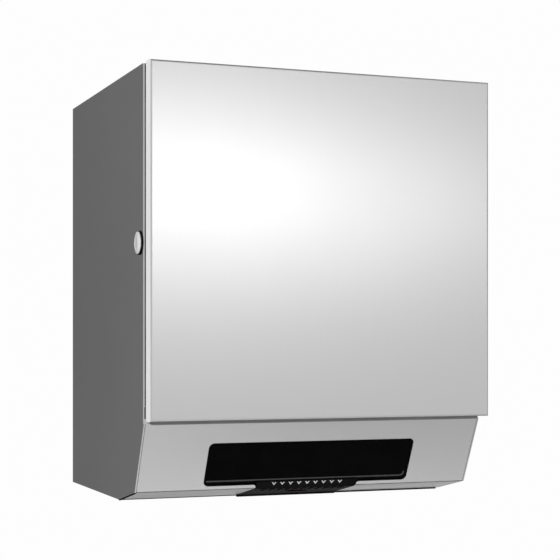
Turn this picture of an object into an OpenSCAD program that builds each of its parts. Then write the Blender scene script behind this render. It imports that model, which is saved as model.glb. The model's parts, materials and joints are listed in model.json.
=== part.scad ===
// Automatic roll towel dispenser: a wall cabinet in stainless sheet with a side hinged door,
// a sprung roll holder and a battery driven transport module behind a black window.
// X runs to the right, Y runs back to the wall, Z runs up. The origin is the middle of the wall holes.

/* [Cabinet] */
// Width over the side panels
cab_w = 320; // [304:1:360]
// Height of the cabinet
cab_h = 376; // [360:1:430]
// Depth from the wall to the front flanges
cab_d = 252; // [242:1:285]
// Thickness of the stainless sheet
sheet_t = 1.2; // [1:0.1:1.6]
// Width of the flanges turned in round the door opening
flange_w = 12; // [11:0.5:15]
// Outside radius of the sheet bends
bend_r = 2.5; // [2:0.1:3.5]
// Spacing of the wall holes across
hole_pitch_x = 203.2; // [160:0.1:220]
// Spacing of the wall holes up the wall
hole_pitch_z = 254; // [200:1:280]
// Radius of the wall holes
hole_r = 3.5; // [2.5:0.1:5]

/* [Door] */
// Thickness of the door pan
door_t = 12; // [10:0.5:24]
// Gap between the door and the front flanges
door_gap = 6; // [2.8:0.1:6.5]
// Outside radius of the door edges
door_edge_r = 2; // [1.6:0.1:4]
// Length of the rubber door bumpers
bumper_l = 10; // [8:0.5:14]

/* [Lower apron] */
// Height of the apron and the bevel below it
lower_h = 71.5; // [68:0.5:84]
// Gap between the door and the apron
seam = 2.5; // [1.5:0.1:6]
// How far the apron slopes back
apron_run = 28; // [18:1:32]
// Height of the bevel below the apron
bevel_h = 11; // [9:0.5:13]
// How far the bevel runs back
bevel_run = 50.5; // [46:0.5:56]
// Outside radius of the bend between the apron and the bevel
apron_bend_r = 2.5; // [1.6:0.1:4]
// Height of the flange turned up at the top of the apron
apron_flange = 10; // [8:0.5:14]
// Width of the window in the apron
window_w = 197; // [180:1:206]
// Height of the window along the slope
window_h = 43; // [34:0.5:44]
// Strip of sheet left under the window
window_sill = 3.7; // [2.6:0.1:5]
// Corner radius of the window
window_r = 5; // [3:0.5:8]
// Width of the notch that the outlet lip fills
notch_w = 98; // [80:1:120]

/* [Hinge] */
// Thickness of the hinge leaves
leaf_t = 1.2; // [0.8:0.1:1.3]
// Radius of the hinge knuckles
knuckle_r = 2.5; // [2.3:0.1:3.2]
// Radius of the hinge pin
hinge_pin_r = 1.2; // [0.8:0.1:1.5]
// Number of knuckles along the hinge
knuckles = 9; // [5:2:15]

/* [Lock] */
// Radius of the lock flange
lock_flange_r = 9.5; // [9:0.1:12]
// How far the lock flange stands proud
lock_proud = 3.5; // [2.5:0.1:5]
// Height of the crown on the lock face
lock_crown = 1.2; // [0.8:0.1:2.2]
// Radius of the lock barrel
lock_barrel_r = 8; // [7:0.1:8.5]
// Length of the lock barrel inside the cabinet
lock_barrel_l = 17; // [15.5:0.5:20]
// Radius of the turning plug
lock_plug_r = 6; // [5:0.1:6.4]
// Length of the lock cam
cam_len = 26; // [22:0.5:30]
// Width of the lock cam
cam_w = 11; // [8:0.5:13]

/* [Roll holder] */
// Depth of the roll axis from the wall
roll_d = 124; // [114:1:134]
// Height of the roll axis above the wall holes' middle
roll_z = 52; // [40:1:62]
// Width of the towel roll
roll_w = 203; // [190:1:210]
// Radius of the hub that fits the roll core
core_r = 18; // [15:0.5:20]
// Radius of the hub flange
hub_flange_r = 22; // [21:0.5:28]
// Thickness of the roll arms
arm_t = 2.5; // [2:0.1:3.5]
// Radius of the hub screws
hub_screw_r = 4; // [3.4:0.1:5]
// Radius of the arm pivot pin
arm_pin_r = 2.5; // [2:0.1:2.8]

/* [Transport module] */
// Thickness of the module side plates
plate_t = 4; // [3:0.5:5]
// Height of the module side plates
module_h = 86.8; // [82:0.2:96]
// Thickness of the black front plate
fascia_t = 3; // [2:0.1:4]
// Height of the feed roller axis above the cabinet floor
feed_h = 46.8; // [45:0.2:50]
// Radius of the rubber feed sleeves
feed_r = 14; // [12:0.5:15]
// Radius of the feed shaft
feed_shaft_r = 4; // [3:0.1:5]
// Radius of the pinch roller
pinch_r = 9; // [7:0.5:10]
// Radius of the pinch roller journals
pinch_shaft_r = 3; // [2.5:0.1:4]
// Length of each roller sleeve
sleeve_l = 38; // [30:1:42]

/* [Gears] */
// Tooth module of the gear train
gear_m = 1.2; // [1.05:0.05:1.3]
// Teeth on the feed gear
feed_teeth = 32; // [28:1:34]
// Teeth on the idler gear
idler_teeth = 20; // [18:1:22]
// Teeth on the motor pinion
pinion_teeth = 12; // [11:1:14]
// Face width of the gears
gear_w = 6; // [4:0.5:8]

/* [Battery box] */
// Radius of a battery cell
cell_r = 16.6; // [14:0.1:17]
// Length of a battery cell
cell_l = 60; // [50:0.5:62]
// Wall thickness of the battery box
box_wall = 2; // [1.6:0.1:2.4]

/* [Hidden] */
$fn = 64;

// Clearances
run_gap = 0.05;   // radial play of a shaft in its bore
fit_gap = 0.05;   // radial play of a fastener or a pressed piece
side_gap = 0.3;   // end play beside a turning piece
slide_gap = 0.1;  // play of a sliding block
cut = 1;          // how far a cutter runs past the face it cuts

// Cabinet outline
top = cab_h / 2;
bot = -cab_h / 2;
half_w = cab_w / 2;
in_w = half_w - sheet_t;
in_bot = bot + sheet_t;
door_bot = bot + lower_h + seam;
door_rear = cab_d + door_gap;
door_face = door_rear + door_t;

// Apron path as [Y, Z]: its top edge, the bend and the end of the bevel
apron_top = [-cab_d, bot + lower_h];
apron_bend = apron_top + [apron_run, bevel_h - lower_h];
bevel_end = apron_bend + [bevel_run, -bevel_h];
apron_path = [apron_top, apron_bend, bevel_end];
apron_gap = 0.4;
apron_len = norm(apron_bend - apron_top);
sill_s = apron_len - window_sill;

// The same path with its bend round, in short steps so that the sheet is a single outline
bend_steps = 8;
apron_tilt = atan2(apron_run, lower_h - bevel_h);
bevel_tilt = atan2(bevel_run, bevel_h);
bend_reach = apron_bend_r * tan((bevel_tilt - apron_tilt) / 2);
bend_c = on_apron(apron_len - bend_reach, apron_bend_r);
bend_arc = [
    for (i = [0 : bend_steps])
        bend_c - apron_bend_r * ray(apron_tilt + (bevel_tilt - apron_tilt) * i / bend_steps)
];
round_path = concat([apron_top], bend_arc, [bevel_end]);
exit_d = -bevel_end[0];

// Hinge
knuckle_gap = 0.4;
hinge_x = half_w + knuckle_r + knuckle_gap;
hinge_d = cab_d + door_gap / 2;
hinge_margin = 12;
pin_head_t = 1.5;
pin_head_in = 0.3;
hinge_z0 = door_bot + hinge_margin;
hinge_z1 = top - hinge_margin;
knuckle_pitch = (hinge_z1 - hinge_z0) / knuckles;
rivet_r = 1.6;
rivet_head_r = 3;
rivet_head_t = 1.2;
rivet_count = 4;
rivet_inset = 20;
rivet_x = half_w - flange_w / 2;
rivet_step = (hinge_z1 - hinge_z0 - 2 * rivet_inset) / (rivet_count - 1);
rivet_zs = [for (i = [0 : rivet_count - 1]) hinge_z0 + rivet_inset + i * rivet_step];
bumper_w = 5;
bumper_t = door_gap - side_gap;

// How far the lower bumper is in from the side and above the door's bottom, and the upper one below the top
bumper_low = [0.4, 2];
bumper_high = [6.5, 30];
bumper_feet = [
    [bumper_low[0] - half_w, door_bot + bumper_low[1]],
    [bumper_high[0] - half_w, top - bumper_high[1]]
];

// Lock, at mid height of the door and close behind the left front flange
lock_z = (top + door_bot) / 2;
lock_gap = 2.8;
lock_d = cab_d - sheet_t - lock_gap - lock_barrel_r;
lock_end = -half_w + lock_barrel_l;
cam_t = 2;
cam_gap = 0.4;
cam_x0 = lock_end + cam_gap;
cam_x1 = cam_x0 + cam_t;
cam_hub_r = 8;
cam_square = 6;
keeper_t = 1.5;
keeper_gap = 1.6;
keeper_lip_gap = 1.2;
keeper_over = 2;
keeper_under = 3;
keeper_foot = 18;
keeper_arm_x = cam_x1 + keeper_gap;
keeper_lip_x = flange_w + keeper_t - half_w;
keeper_lip_d = lock_d - cam_w / 2 - keeper_t - keeper_lip_gap;
keeper_z0 = lock_z - cam_len - keeper_over;
keeper_z1 = lock_z - max(cam_w / 2, cam_hub_r) - keeper_under;
// Radius of the sphere that crowns the lock face
crown_r = (lock_flange_r ^ 2 + lock_crown ^ 2) / (2 * lock_crown);
clip_t = 1.5;
clip_leg = 3;
clip_back = 4;
slot_w = 1.4;
slot_margin = 2;
slot_deep = 8;
plug_sink = 0.4;
cam_screw_r = 4.4;
cam_screw_t = 2;
cam_screw_slot = [1, 7];

// Roll holder
hub_flange_t = 3;
hub_plug_l = 12;
hub_lead = 2;
roll_play = 1;
hub_x0 = roll_w / 2 + roll_play - hub_plug_l;
hub_x1 = roll_w / 2 + roll_play + hub_flange_t;
hub_head_t = 3;
hub_head_rim = 3;
hub_head_r = hub_screw_r + hub_head_rim;
hub_head_play = 1;
hub_sink = 1.1;
hub_recess = hub_head_t + hub_sink;
hub_slot_w = 1.2;
hub_slot_margin = 1.5;
arm_x0 = hub_x1 + side_gap;
arm_x1 = arm_x0 + arm_t;
arm_x = (arm_x0 + arm_x1) / 2;
arm_end_r = 15;
arm_half_h = 19;
thread_step = 1;
thread_end = 1.5;
thread_r = hub_screw_r - thread_step;
bracket_t = 2;
bracket_d = sheet_t + bracket_t;
bracket_half_h = 27;
bracket_z0 = roll_z - bracket_half_h;
bracket_z1 = roll_z + bracket_half_h;
foot_w = 22;
bracket_x = arm_x1 + foot_w;
pivot_stand = 11;
pivot_d = bracket_d + pivot_stand;
barrel_wall = 3;
barrel_r = arm_pin_r + barrel_wall;
ear_t = 3;
ear_r = 7;
ear_half_h = 20;
barrel_z0 = roll_z - ear_half_h + side_gap;
barrel_rise = 7;
barrel_z1 = roll_z + barrel_rise;
arm_step = 1.5;
arm_flare = 14;
arm_head_w = 2;
arm_head_t = 1.5;
bracket_screw_r = 2;
bracket_screw_head_r = 4;
bracket_screw_head_t = 2.4;
bracket_screw_slot = [1, 5];
bracket_screw_x = 60;
bracket_screw_z = 15;
foot_screw_z = 12;
bracket_screw_end = 0.2;
bracket_screw_xz = [for (x = [-1, 1], z = [-1, 1]) [x * bracket_screw_x, roll_z + z * bracket_screw_z]];
foot_screw_xz = [for (z = [-1, 1]) [-arm_x1 - foot_w / 2, roll_z + z * foot_screw_z]];

// Transport module
window_side = 13.5;
module_in = window_w / 2 + window_side;
module_out = module_in + plate_t;
module_top = in_bot + module_h;
fascia_gap = 0.4;
fascia_k0 = sheet_t + fascia_gap;
fascia_k1 = fascia_k0 + fascia_t;
fascia_overlap = 9;
fascia_low = 0.8;
fascia_end = sill_s - fascia_low;
bead_r = 1;
bead_up = 4.2;
bead_in = 2;
box_d0 = 6;
cell_play = 0.6;
box_d1 = box_d0 + 2 * box_wall + 4 * (cell_r + cell_play);
module_gap = 5;
module_rear = box_d1 + module_gap;
nip_back = 7.5;
nip_d = exit_d - nip_back;
nip_gap = 0.4;
feed_d = nip_d - feed_r;
feed_z = in_bot + feed_h;
pinch_d = nip_d + nip_gap + pinch_r;
exit_back = 10;
exit_rear = nip_d - exit_back;
exit_side = 4;
exit_half = module_in - exit_side;
brow_s = 6;
brow_gap = 13;
plate_toe = 3;
floor_t = 2.5;
stud_r = 2;
stud_h = 9;
stud_side = 16;
stud_rear = 10;
stud_front = 9;
stud_play = 0.2;
stud_x = module_in - stud_side;
stud_xd = [for (x = [-1, 1], d = [module_rear + stud_rear, exit_rear - stud_front]) [x * stud_x, d]];
nut_t = 3.2;
nut_r = 4;
rod_r = 3;
rod_head_r = 5;
rod_head_t = 2;
rod_rear = 7;
rod_front = 9;
rod_under = 22;
rod_over = 9;
rod_front_d = cab_d - brow_gap - rod_front;
rod_dz = [[module_rear + rod_rear, feed_z - rod_under], [rod_front_d, module_top - rod_over]];
chute_t = 3;
chute_back = 1.5;
chute_low = 4;
chute_gap = 3;
chute_d0 = exit_d - chute_back;
chute_z0 = in_bot + chute_low;
chute_z1 = feed_z - pinch_r - chute_gap;
tear_t = 1;
tear_side = 2;
tear_low = 0.6;
tear_h = 20;
tear_half = exit_half - tear_side;
tooth_pitch = 4;
tooth_h = 3;
tear_tip = bot + tear_low;
tear_top = in_bot + tear_h;
guide_t = 2;
guide_under = 4;
guide_top = module_top - guide_under;
front_guide_d = 12;
front_guide_gap = 5;
front_guide_flare = 20;
rear_guide_d = 4;
rear_guide_gap = 3;
rear_guide_flare = 28;
bush_wall = 3;
bush_flange_w = 2;
bush_r = feed_shaft_r + bush_wall;
bush_flange_r = bush_r + bush_flange_w;
bush_flange_t = 1.2;
block_half = 6;
block_lip = 1.3;
block_lip_h = 2;
shaft_end = 1;
spring_room = 9;
spring_end = 0.2;
sleeve_side = 6;
sleeve_count = 4;
spring_wire = 0.45;
spring_mean_r = 2.6;
spring_curls = 4;
sleeve_step = (2 * (module_in - sleeve_side) - sleeve_l) / (sleeve_count - 1);
sleeve_xs = [for (i = [0 : sleeve_count - 1]) sleeve_side - module_in + i * sleeve_step];

// Gear train outside the right plate, as [Y, Z] centres
pressure = 25;
addendum = 0.8 * gear_m;
dedendum = gear_m;
backlash = 0.2;
gear_gap = 3;
gear_x0 = module_out + gear_gap;
gear_x1 = gear_x0 + gear_w;
mesh_a = 45;
mesh_b = 0;
feed_c = [-feed_d, feed_z];
idler_c = feed_c + gear_m * (feed_teeth + idler_teeth) / 2 * ray(mesh_a);
pinion_c = idler_c + gear_m * (idler_teeth + pinion_teeth) / 2 * ray(mesh_b);
idler_turn = mesh_a + 180 + 180 / idler_teeth;
idler_lag = (mesh_b - idler_turn) - floor((mesh_b - idler_turn) * idler_teeth / 360) * 360 / idler_teeth;
pinion_turn = mesh_b + 180 + 180 / pinion_teeth + idler_lag * idler_teeth / pinion_teeth;
feed_ro = gear_m * feed_teeth / 2 + addendum;
pinion_ro = gear_m * pinion_teeth / 2 + addendum;
feed_hub_wall = 4;
gear_hub = 2;
shaft_out = 0.5;
idler_bore_r = 3;
idler_hub_wall = 2.5;
axle_out = 1;
gear_plate_t = 2.5;
gear_plate_x = gear_x1 + gear_gap;
post_r = 3.5;
// Clear distance of each post from the gear that it stands beside, and its angle round that gear
feed_posts = [[8.4, 102], [5.8, -23]];
pinion_posts = [[7, 67], [22.5, -79]];
post_c = concat(
    [for (p = feed_posts) feed_c + (feed_ro + p[0]) * ray(p[1])],
    [for (p = pinion_posts) pinion_c + (pinion_ro + p[0]) * ray(p[1])]
);
post_ys = [for (c = post_c) c[0]];
post_zs = [for (c = post_c) c[1]];
gear_plate_rim = 6;
motor_r = 14;
motor_l = 40;
motor_boss_r = 5;
motor_boss_out = 0.6;
motor_cap_t = 2;
motor_shaft_r = 1.5;
motor_shaft_in = 8;
motor_tab = [5, 3, 0.8];
motor_tab_z = 8;
screw_r = 1.5;
screw_l = 5;
screw_end = 0.4;
screw_slot = [0.8, 4];
screw_head_r = 2.8;
screw_head_t = 2;

// Control board outside the left plate
board_t = 1.6;
board_stand = 3;
board_x = -module_out - board_stand;
board_post_r = 3;
board_rear = 4;
board_front = 18;
board_low = 8;
board_h = 66;
board_hole_in = 4;
board_d0 = module_rear + board_rear;
board_d1 = feed_d - board_front;
board_z0 = in_bot + board_low;
board_z1 = board_z0 + board_h;
board_hole_ds = [board_d0 + board_hole_in, board_d1 - board_hole_in];
board_hole_zs = [board_z0 + board_hole_in, board_z1 - board_hole_in];
board_hole_dz = [for (d = board_hole_ds, z = board_hole_zs) [d, z]];
// Square components: place from the board's middle and lower edge, size along and up, height
board_blocks = [[-2, 36, 12, 12, 1.6], [-5, 11.5, 14, 7, 7], [-14.5, 27, 6, 14, 7]];
// Round components: place from the board's middle and lower edge, radius, height
board_cans = [[8, 20, 4, 9], [12, 50, 2.5, 6], [-4, 52, 3, 5]];
knob_r = 15;
knob_l = 12;
knob_cap = 2;
knob_gap = 1;
knob_x = -module_out - bush_flange_t - knob_gap;
knob_flutes = 16;
flute_r = 1.8;
flute_out = 0.8;

// Battery box on the cabinet floor behind the module
contact_t = 2.4;
cell_gap = 1;
contact_play = 0.4;
contact_leaf = 0.6;
contact_pad = 9;
contact_dome_r = 4;
cap_l = 1.5;
cap_r = 4.8;
box_half = cell_l + cell_gap / 2 + contact_t + contact_play + box_wall;
box_top = in_bot + box_wall + 2 * (cell_r + cell_play);
cell_z = in_bot + box_wall + cell_r + cell_play;
cell_ds = [for (i = [0, 1]) box_d0 + box_wall + (1 + 2 * i) * (cell_r + cell_play)];
lid_t = 2;
lid_inset = 2;
lid_axis_d = box_d0 + lid_inset;
lid_axis_z = box_top + side_gap + lid_t / 2;
lid_barrel_r = 2.4;
lid_pin_r = 1.5;
lid_ear_r = 3.4;
lid_ear_t = 3;
lid_barrel_x = 50;
lid_relief = 3;
lid_flap_gap = 1.2;
lid_side = 1;
grip_half = 10;
grip_out = 3;

// Two-dimensional helpers; profiles across the object are drawn in Y and Z
function ray(a) = [cos(a), sin(a)];
function unit(v) = v / norm(v);
function left_of(v) = [-v[1], v[0]];
function flip(p) = [for (i = [len(p) - 1 : -1 : 0]) p[i]];
function side_at(p, i) = left_of(unit(p[i + 1] - p[i]));
// A path moved sideways by k to its left, with mitred corners
function beside(p, k) = [
    for (i = [0 : len(p) - 1])
        let (a = side_at(p, max(i - 1, 0)), b = side_at(p, min(i, len(p) - 2)))
        p[i] + k * (a + b) / (1 + a * b)
];
// Outline of a sheet that follows a path between two distances from it
function sheet_outline(p, k0, k1) = concat(beside(p, k0), flip(beside(p, k1)));
function on_line(p, q, s, k) = p + s * unit(q - p) + k * left_of(unit(q - p));
function on_apron(s, k) = on_line(apron_top, apron_bend, s, k);
function on_bevel(s, k) = on_line(apron_bend, bevel_end, s, k);

// Involute flank: half angle of a tooth at radius r
function inv(a) = tan(a) * 180 / PI - a;
function half_tooth(n, r) =
    let (rp = gear_m * n / 2, rb = rp * cos(pressure))
    90 / n - backlash / 4 / rp * 180 / PI + inv(pressure) - inv(acos(rb / max(r, rb)));
function gear_outline(n) =
    let (rp = gear_m * n / 2, rs = [rp - dedendum, rp, rp + addendum])
    [
        for (i = [0 : n - 1], side = [-1, 1], j = [0 : 2])
            let (r = side < 0 ? rs[j] : rs[2 - j])
            r * ray(i * 360 / n + side * half_tooth(n, r))
    ];

// Round tube swept along points, six sided
tube_sides = 6;
function tangent(p, i) = unit(p[min(i + 1, len(p) - 1)] - p[max(i - 1, 0)]);
function ring_at(p, i, r) =
    let (t = tangent(p, i), u = unit(cross(t, [0, 0, 1])), v = cross(u, t), step = 360 / tube_sides)
    [for (k = [0 : tube_sides - 1]) p[i] + r * (cos(k * step) * u + sin(k * step) * v)];
function coil(r, h, curls, rings = 8) = [
    for (i = [0 : curls * rings])
        [r * cos(i * 360 / rings), r * sin(i * 360 / rings), h * i / (curls * rings)]
];
// Least gap between the turns of a coil, measured between its ring centres
function least_gap(p, r, skip = 6) =
    min([for (i = [0 : len(p) - 1 - skip], j = [i + skip : len(p) - 1]) norm(p[i] - p[j])]) - 2 * r;

module tube(p, r) {
    n = len(p);
    s = tube_sides;
    walls = [
        for (i = [0 : n - 2], k = [0 : s - 1], half = [0, 1])
            half == 0
                ? [i * s + k, i * s + (k + 1) % s, (i + 1) * s + (k + 1) % s]
                : [i * s + k, (i + 1) * s + (k + 1) % s, (i + 1) * s + k]
    ];
    caps = [
        for (k = [1 : s - 2], half = [0, 1])
            half == 0 ? [0, k + 1, k] : [(n - 1) * s, (n - 1) * s + k, (n - 1) * s + k + 1]
    ];
    polyhedron([for (i = [0 : n - 1]) each ring_at(p, i, r)], concat(walls, caps));
}

// Extrusions along X, along Y by depth from the wall, and along Z
module across(x0, x1) {
    translate([x0, 0, 0])
        rotate([90, 0, 90])
            linear_extrude(x1 - x0)
                children();
}

module facing(d0, d1) {
    translate([0, -d0, 0])
        rotate([90, 0, 0])
            linear_extrude(d1 - d0)
                children();
}

module rising(z0, z1) {
    translate([0, 0, z0])
        linear_extrude(z1 - z0)
            children();
}

module rod(c, r, x0, x1) {
    across(x0, x1)
        translate(c)
            circle(r);
}

module peg(xz, r, d0, d1) {
    facing(d0, d1)
        translate(xz)
            circle(r);
}

module post(xd, r, z0, z1) {
    rising(z0, z1)
        translate([xd[0], -xd[1]])
            circle(r);
}

module block(x0, x1, d0, d1, z0, z1) {
    translate([x0, -d1, z0])
        cube([x1 - x0, d1 - d0, z1 - z0]);
}

// Quarter of a bent sheet round the origin, in the first quadrant
module bend() {
    intersection() {
        difference() {
            circle(bend_r);
            circle(bend_r - sheet_t);
        }
        square(bend_r);
    }
}

module rounded_rect(w, h, r) {
    square([w - 2 * r, h], center = true);
    square([w, h - 2 * r], center = true);
    for (x = [-1, 1], y = [-1, 1])
        translate([x * (w / 2 - r), y * (h / 2 - r)])
            circle(r);
}

// Rectangle from u0 to u1 and depth d0 to d1 with its two front corners rounded
module front_rounded(u0, u1, d0, d1, r) {
    translate([u0, r - d1])
        square([u1 - u0, d1 - d0 - r]);
    translate([u0 + r, -d1])
        square([u1 - u0 - 2 * r, r]);
    for (u = [u0 + r, u1 - r])
        translate([u, r - d1])
            circle(r);
}

// Cabinet shell

steel = "silver";
black = [0.08, 0.08, 0.09];
zinc = [0.75, 0.76, 0.78];
white = [0.9, 0.9, 0.88];
rubber = [0.15, 0.15, 0.16];
bright = [0.87, 0.88, 0.9];

wall_hole_xz = [for (x = [-1, 1], z = [-1, 1]) [x * hole_pitch_x / 2, z * hole_pitch_z / 2]];

module back_plate() {
    color(steel)
        difference() {
            block(-in_w, in_w, 0, sheet_t, in_bot, top - sheet_t);
            for (c = wall_hole_xz)
                peg(c, hole_r, -cut, sheet_t + cut);
            for (c = bracket_screw_xz)
                peg(c, bracket_screw_r + fit_gap, -cut, sheet_t + cut);
        }
}

module top_panel() {
    reach = half_w - flange_w;
    color(steel) {
        block(-in_w, in_w, 0, cab_d - bend_r, top - sheet_t, top);
        across(-reach, reach)
            translate([bend_r - cab_d, top - bend_r])
                mirror([1, 0])
                    bend();
        block(-reach, reach, cab_d - sheet_t, cab_d, top - flange_w, top - bend_r);
    }
}

// Right side panel with its front flange; the left one is its mirror image
module side_shell() {
    across(in_w, half_w)
        polygon([
            [0, bot], bevel_end, apron_bend, apron_top, [bend_r - cab_d, apron_top[1]],
            [bend_r - cab_d, top], [0, top]
        ]);
    rising(apron_top[1], top - sheet_t) {
        translate([half_w - bend_r, bend_r - cab_d])
            mirror([0, 1])
                bend();
        translate([half_w - flange_w, -cab_d])
            square([flange_w - bend_r, sheet_t]);
    }
}

module side_panel_left() {
    color(steel)
        difference() {
            mirror([1, 0, 0])
                side_shell();
            rod([-lock_d, lock_z], lock_barrel_r + fit_gap, -half_w - cut, -in_w + cut);
        }
}

module side_panel_right() {
    color(steel)
        difference() {
            side_shell();
            for (z = rivet_zs)
                peg([rivet_x, z], rivet_r + fit_gap, cab_d - sheet_t - cut, cab_d + cut);
        }
}

// Floor sheet, open at the front where the towel comes out, with the module's weld studs
module bottom_panel() {
    front = on_bevel(norm(bevel_end - apron_bend), sheet_t / left_of(unit(bevel_end - apron_bend))[1]);
    color(steel) {
        difference() {
            across(-in_w, in_w)
                polygon([[0, bot], bevel_end, front, [0, in_bot]]);
            block(-exit_half, exit_half, exit_rear, exit_d + cut, bot - cut, in_bot + cut);
        }
        for (c = stud_xd)
            post(c, stud_r, in_bot, in_bot + stud_h);
    }
}

module lower_apron() {
    reach = half_w - flange_w;
    side = in_w - apron_gap;
    corner_r = min(window_sill - 0.4, 2.5);
    notch_top = bot + bevel_h + window_sill + sheet_t;
    color(steel)
        difference() {
            union() {
                difference() {
                    across(-side, side)
                        polygon(sheet_outline(round_path, 0, sheet_t));
                    block(-half_w, half_w, 0, cab_d + cut, apron_top[1], top);
                }
                across(-reach, reach)
                    polygon([
                        apron_top, apron_top + sheet_t * [1, -1],
                        apron_top + [sheet_t, apron_flange], apron_top + [0, apron_flange]
                    ]);
            }
            translate([0, apron_bend[0], apron_bend[1]])
                rotate([90 + apron_tilt, 0, 0])
                    translate([0, 0, -bevel_run / 2])
                        linear_extrude(bevel_run) {
                            translate([0, window_sill + window_h / 2])
                                rounded_rect(window_w, window_h, window_r);
                            for (s = [0, 1])
                                mirror([s, 0])
                                    translate([notch_w / 2, window_sill])
                                        rounded_end(corner_r);
                        }
            block(-notch_w / 2, notch_w / 2, exit_d - cut, cab_d, bot - cut, notch_top);
        }
}

// What is cut from a square corner at the origin to leave it round, the sheet lying right and down
module rounded_end(r) {
    inset = 0.98 * r;
    difference() {
        translate([-cut, -inset])
            square([inset + cut, inset + cut]);
        translate([inset, -inset])
            circle(r);
    }
}

// Door and hinge

module door_panel() {
    lip_w = flange_w - sheet_t;
    color(steel)
        difference() {
            union() {
                door_pan();
                block(in_w - lip_w, in_w, door_rear, door_rear + sheet_t, door_bot + sheet_t, top - sheet_t);
            }
            for (z = rivet_zs)
                peg([rivet_x, z], rivet_r + fit_gap, door_rear - cut, door_rear + sheet_t + cut);
        }
}

module door_pan() {
    inner_r = door_edge_r - sheet_t;
    difference() {
        rounded_pan(half_w, door_bot, top, door_rear, door_face, door_edge_r);
        rounded_pan(in_w, door_bot + sheet_t, top - sheet_t, door_rear - cut, door_face - sheet_t, inner_r);
    }
}

module rounded_pan(w, z0, z1, d0, d1, r) {
    intersection() {
        rising(z0, z1)
            front_rounded(-w, w, d0, d1, r);
        across(-w, w)
            mirror([1, -1])
                front_rounded(z0, z1, d0, d1, r);
    }
}

// A hinge leaf on its flange at depth d0, with every second knuckle from the first one given
module hinge_leaf(d0, first) {
    difference() {
        union() {
            block(half_w - flange_w, half_w, d0, d0 + leaf_t, hinge_z0, hinge_z1);
            for (i = [first : 2 : knuckles - 1]) {
                z0 = hinge_z0 + i * knuckle_pitch + side_gap / 2;
                z1 = z0 + knuckle_pitch - side_gap;
                block(half_w, hinge_x, d0, d0 + leaf_t, z0, z1);
                post([hinge_x, hinge_d], knuckle_r, z0, z1);
            }
        }
        post([hinge_x, hinge_d], hinge_pin_r + run_gap, hinge_z0 - cut, hinge_z1 + cut);
        for (z = rivet_zs)
            peg([rivet_x, z], rivet_r + fit_gap, d0 - cut, d0 + leaf_t + cut);
    }
}

module hinge_leaf_cabinet() {
    color(zinc)
        hinge_leaf(cab_d, 0);
}

module hinge_leaf_door() {
    color(zinc)
        hinge_leaf(door_rear - leaf_t, 1);
}

module hinge_pin() {
    head_r = knuckle_r - pin_head_in;
    color(bright) {
        post([hinge_x, hinge_d], hinge_pin_r, hinge_z0 - pin_head_t, hinge_z1 + pin_head_t);
        post([hinge_x, hinge_d], head_r, hinge_z0 - pin_head_t, hinge_z0);
        post([hinge_x, hinge_d], head_r, hinge_z1, hinge_z1 + pin_head_t);
    }
}

// Rivets flush on the leaf, with a round head on the far side of the sheet
module hinge_rivets_cabinet() {
    color(bright)
        for (z = rivet_zs) {
            peg([rivet_x, z], rivet_r, cab_d - sheet_t, cab_d + leaf_t);
            peg([rivet_x, z], rivet_head_r, cab_d - sheet_t - rivet_head_t, cab_d - sheet_t);
        }
}

module hinge_rivets_door() {
    color(bright)
        for (z = rivet_zs) {
            peg([rivet_x, z], rivet_r, door_rear - leaf_t, door_rear + sheet_t);
            peg([rivet_x, z], rivet_head_r, door_rear + sheet_t, door_rear + sheet_t + rivet_head_t);
        }
}

module door_bumpers() {
    color(rubber)
        for (c = bumper_feet)
            block(c[0], c[0] + bumper_w, cab_d, cab_d + bumper_t, c[1], c[1] + bumper_l);
}

// Lock in the left side panel

lock_c = [-lock_d, lock_z];

// Rod along the lock axis whose outer face at x0 is crowned
module crowned_rod(r, x0, x1) {
    intersection() {
        rod(lock_c, r, x0, x1);
        translate([x0 + crown_r, -lock_d, lock_z])
            rotate([0, 90, 0])
                sphere(crown_r);
    }
}

module lock_body() {
    color(bright)
        difference() {
            union() {
                crowned_rod(lock_flange_r, -half_w - lock_proud, -half_w);
                rod(lock_c, lock_barrel_r, -half_w, lock_end);
            }
            rod(lock_c, lock_plug_r + run_gap, -half_w - lock_proud - cut, lock_end + cut);
        }
}

// Fork shaped spring clip that holds the lock against the inside of the side panel
module lock_clip() {
    half = lock_barrel_r + fit_gap;
    color(zinc)
        across(-in_w, clip_t - in_w)
            translate(lock_c)
                difference() {
                    translate([-half / 2, -half - clip_leg])
                        square([1.5 * half + clip_back, 2 * (half + clip_leg)]);
                    circle(half);
                    translate([-half, -half])
                        square([half, 2 * half]);
                }
}

module lock_plug() {
    slot_l = 2 * (lock_plug_r - slot_margin);
    face = -half_w - lock_proud + plug_sink;
    color(bright) {
        difference() {
            union() {
                crowned_rod(lock_plug_r, face, -half_w);
                rod(lock_c, lock_plug_r, -half_w, cam_x0);
            }
            across(face - cut, face + slot_deep)
                translate(lock_c)
                    square([slot_w, slot_l], center = true);
        }
        across(cam_x0, cam_x1)
            translate(lock_c)
                square(cam_square, center = true);
    }
}

// Unlocked, the cam points up; half a turn by way of the front brings it down before the keeper's lip
module lock_cam() {
    color(zinc)
        across(cam_x0, cam_x1)
            translate(lock_c)
                difference() {
                    union() {
                        circle(cam_hub_r);
                        translate([-cam_w / 2, 0])
                            square([cam_w, cam_len - cam_w / 2]);
                        translate([0, cam_len - cam_w / 2])
                            circle(cam_w / 2);
                    }
                    square(cam_square + 2 * fit_gap, center = true);
                }
}

module cam_screw() {
    color(bright)
        difference() {
            rod(lock_c, cam_screw_r, cam_x1, cam_x1 + cam_screw_t);
            across(cam_x1 + cam_screw_t / 2, cam_x1 + cam_screw_t + cut)
                translate(lock_c)
                    square(cam_screw_slot, center = true);
        }
}

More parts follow.
